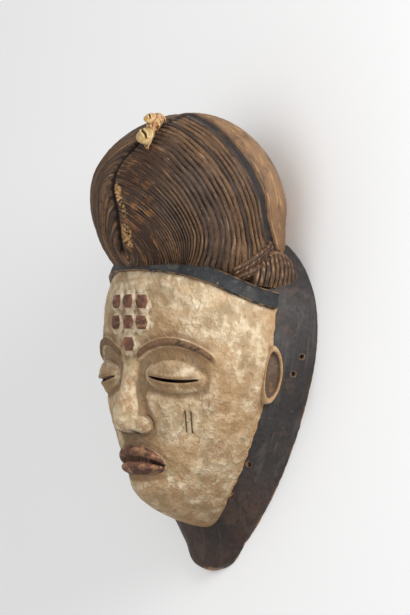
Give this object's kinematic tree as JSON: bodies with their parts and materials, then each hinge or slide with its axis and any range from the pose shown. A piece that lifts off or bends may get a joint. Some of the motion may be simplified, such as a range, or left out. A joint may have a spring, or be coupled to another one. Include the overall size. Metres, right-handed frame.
{
  "type": "carved face mask",
  "caption": "Hollow carved wooden face mask with a white face, slit eyes, scarification lozenges, a dark collar and a tall grooved coiffure with cowrie shells tied on top.",
  "frame": {"origin": "on the plane of the flat rim that the mask lies on, below the middle of the whole part's bounding box", "axes": "+X to the mask's own left, +Y from the chin to the crown, +Z the way the face looks, up while it lies on its rim"},
  "size_m": [0.1834, 0.3318, 0.1393],
  "materials": {
    "carved_wood": "painted and worn",
    "shell": "polished",
    "shell_pale": "polished",
    "plant_fibre": "rough"
  },
  "bodies": {
    "root": {"mask": "carved_wood", "cowrie_lower": "shell", "cowrie_upper": "shell_pale", "fibre_tie": "plant_fibre"}
  },
  "joints": []
}
